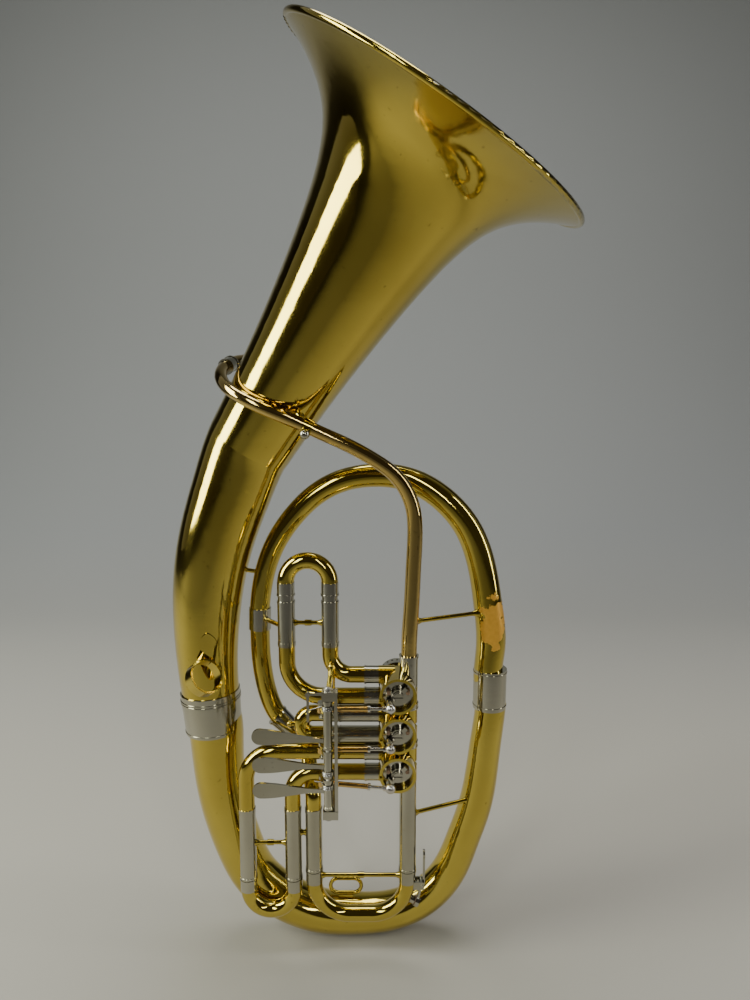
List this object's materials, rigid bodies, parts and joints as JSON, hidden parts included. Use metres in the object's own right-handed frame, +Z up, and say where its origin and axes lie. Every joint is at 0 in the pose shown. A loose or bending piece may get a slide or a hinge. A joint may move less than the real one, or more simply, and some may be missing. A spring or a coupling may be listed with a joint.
{
  "type": "tenor_horn",
  "caption": "Oval tenor horn in lacquered brass with three rotary valves, ball-joint linkages, finger levers, tuning slides and a water key",
  "frame": {"origin": "Middle of the foot of the bounding box, under the bottom bow", "axes": "+X to the side of the valve machine away from the bell stem, +Y from the levers to the back of the horn, +Z up towards the bell"},
  "size_m": [0.2928, 0.239, 0.6778],
  "materials": {
    "lacquered_brass": "polished",
    "gold_brass": "polished",
    "nickel_silver": "polished",
    "steel": "satin",
    "cork": "matte"
  },
  "bodies": {
    "horn_body": {"bell": "lacquered_brass", "bell_rim_wire": "nickel_silver", "bottom_bow": "lacquered_brass", "top_bow": "lacquered_brass", "inner_branch": "lacquered_brass", "body_ferrule": "nickel_silver", "bow_ferrule": "nickel_silver", "branch_ferrules": "nickel_silver", "return_tube": "lacquered_brass", "leadpipe": "gold_brass", "mouthpiece_receiver": "nickel_silver", "leadpipe_clamp": "lacquered_brass", "bearing_plates": "nickel_silver", "valve_caps": "nickel_silver", "cork_bumpers": "cork", "valve_knuckles": "nickel_silver", "port_ferrules": "nickel_silver", "leadpipe_ferrules": "nickel_silver", "first_valve_tubes": "lacquered_brass", "third_valve_tubes": "lacquered_brass", "frame_post": "lacquered_brass", "lever_frame": "nickel_silver", "lever_axle": "steel", "lever_springs": "steel", "first_slide_sleeves": "nickel_silver", "third_slide_sleeves": "nickel_silver", "main_slide_sleeves": "nickel_silver", "second_slide_sleeves": "nickel_silver", "slide_bridges": "lacquered_brass", "body_stays": "lacquered_brass", "thumb_ring": "lacquered_brass", "strap_ring": "lacquered_brass", "valve_casing_1": "lacquered_brass", "valve_casing_2": "lacquered_brass", "valve_casing_3": "lacquered_brass"},
    "lever_1_body": {"lever_1": "nickel_silver"},
    "rotor_1_body": {"rotor_1": "lacquered_brass", "stop_arm_1": "nickel_silver"},
    "rod_1_body": {"linkage_rod_1": "nickel_silver"},
    "lever_2_body": {"lever_2": "nickel_silver"},
    "rotor_2_body": {"rotor_2": "lacquered_brass", "stop_arm_2": "nickel_silver"},
    "rod_2_body": {"linkage_rod_2": "nickel_silver"},
    "lever_3_body": {"lever_3": "nickel_silver"},
    "rotor_3_body": {"rotor_3": "lacquered_brass", "stop_arm_3": "nickel_silver"},
    "rod_3_body": {"linkage_rod_3": "nickel_silver"},
    "main_slide": {"main_slide_tubes": "nickel_silver", "main_slide_bow": "lacquered_brass", "main_slide_bridge": "lacquered_brass", "water_key_saddle": "nickel_silver"},
    "water_key": {"water_key_lever": "nickel_silver", "water_key_cork": "cork"},
    "first_slide": {"first_slide_tubes": "nickel_silver", "first_slide_bow": "lacquered_brass"},
    "second_slide": {"second_slide_tubes": "nickel_silver", "second_slide_bow": "lacquered_brass"},
    "third_slide": {"third_slide_tubes": "nickel_silver", "third_slide_bow": "lacquered_brass"},
    "thumbscrew": {"clamp_screw": "nickel_silver"}
  },
  "joints": [
    {"name": "lever_1_hinge", "type": "hinge", "parent": "horn_body", "child": "lever_1_body", "pos_m": [-0.02187, -0.03898, 0.22639], "axis": [0, 0, -1], "range_deg": [0, 27.26], "stiffness_Nm_per_rad": 0.06, "springref_deg": -20.05},
    {"name": "rotor_1_turn", "type": "hinge", "parent": "horn_body", "child": "rotor_1_body", "pos_m": [0.02713, 0.01401, 0.22639], "axis": [0, -1, 0], "range_deg": [0, 90]},
    {"name": "rod_1_ball", "type": "hinge", "parent": "rotor_1_body", "child": "rod_1_body", "pos_m": [0.02147, -0.01499, 0.22073], "axis": [0, 1, 0], "range_deg": [0, 90]},
    {"name": "lever_2_hinge", "type": "hinge", "parent": "horn_body", "child": "lever_2_body", "pos_m": [-0.02187, -0.03898, 0.19579], "axis": [0, 0, -1], "range_deg": [0, 27.26], "stiffness_Nm_per_rad": 0.06, "springref_deg": -20.05},
    {"name": "rotor_2_turn", "type": "hinge", "parent": "horn_body", "child": "rotor_2_body", "pos_m": [0.02713, 0.01401, 0.19579], "axis": [0, -1, 0], "range_deg": [0, 90]},
    {"name": "rod_2_ball", "type": "hinge", "parent": "rotor_2_body", "child": "rod_2_body", "pos_m": [0.02147, -0.01499, 0.19013], "axis": [0, 1, 0], "range_deg": [0, 90]},
    {"name": "lever_3_hinge", "type": "hinge", "parent": "horn_body", "child": "lever_3_body", "pos_m": [-0.02187, -0.03898, 0.16519], "axis": [0, 0, -1], "range_deg": [0, 27.26], "stiffness_Nm_per_rad": 0.06, "springref_deg": -20.05},
    {"name": "rotor_3_turn", "type": "hinge", "parent": "horn_body", "child": "rotor_3_body", "pos_m": [0.02713, 0.01401, 0.16519], "axis": [0, -1, 0], "range_deg": [0, 90]},
    {"name": "rod_3_ball", "type": "hinge", "parent": "rotor_3_body", "child": "rod_3_body", "pos_m": [0.02147, -0.01499, 0.15953], "axis": [0, 1, 0], "range_deg": [0, 90]},
    {"name": "main_slide_pull", "type": "slide", "parent": "horn_body", "child": "main_slide", "axis": [0, 0, -1], "range_m": [0, 0.044]},
    {"name": "first_slide_pull", "type": "slide", "parent": "horn_body", "child": "first_slide", "axis": [0, 0, 1], "range_m": [0, 0.028]},
    {"name": "second_slide_pull", "type": "slide", "parent": "horn_body", "child": "second_slide", "axis": [-1, 0, 0], "range_m": [0, 0.02]},
    {"name": "third_slide_pull", "type": "slide", "parent": "horn_body", "child": "third_slide", "axis": [0, 0, -1], "range_m": [0, 0.045]},
    {"name": "water_key_hinge", "type": "hinge", "parent": "main_slide", "child": "water_key", "pos_m": [0.04693, 0.01401, 0.06319], "axis": [0, -1, 0], "range_deg": [0, 9], "stiffness_Nm_per_rad": 0.02, "springref_deg": -28.65},
    {"name": "clamp_screw_turn", "type": "hinge", "parent": "horn_body", "child": "thumbscrew", "pos_m": [-0.03672, -0.01358, 0.41789], "axis": [-0.079, -0.8999, -0.4289], "range_deg": [0, 360]}
  ],
  "couplings": [
    {"joint": "rotor_1_turn", "follows": "lever_1_hinge", "ratio": 3.3008},
    {"joint": "rod_1_ball", "follows": "lever_1_hinge", "ratio": 3.3008},
    {"joint": "rotor_2_turn", "follows": "lever_2_hinge", "ratio": 3.3008},
    {"joint": "rod_2_ball", "follows": "lever_2_hinge", "ratio": 3.3008},
    {"joint": "rotor_3_turn", "follows": "lever_3_hinge", "ratio": 3.3008},
    {"joint": "rod_3_ball", "follows": "lever_3_hinge", "ratio": 3.3008}
  ]
}
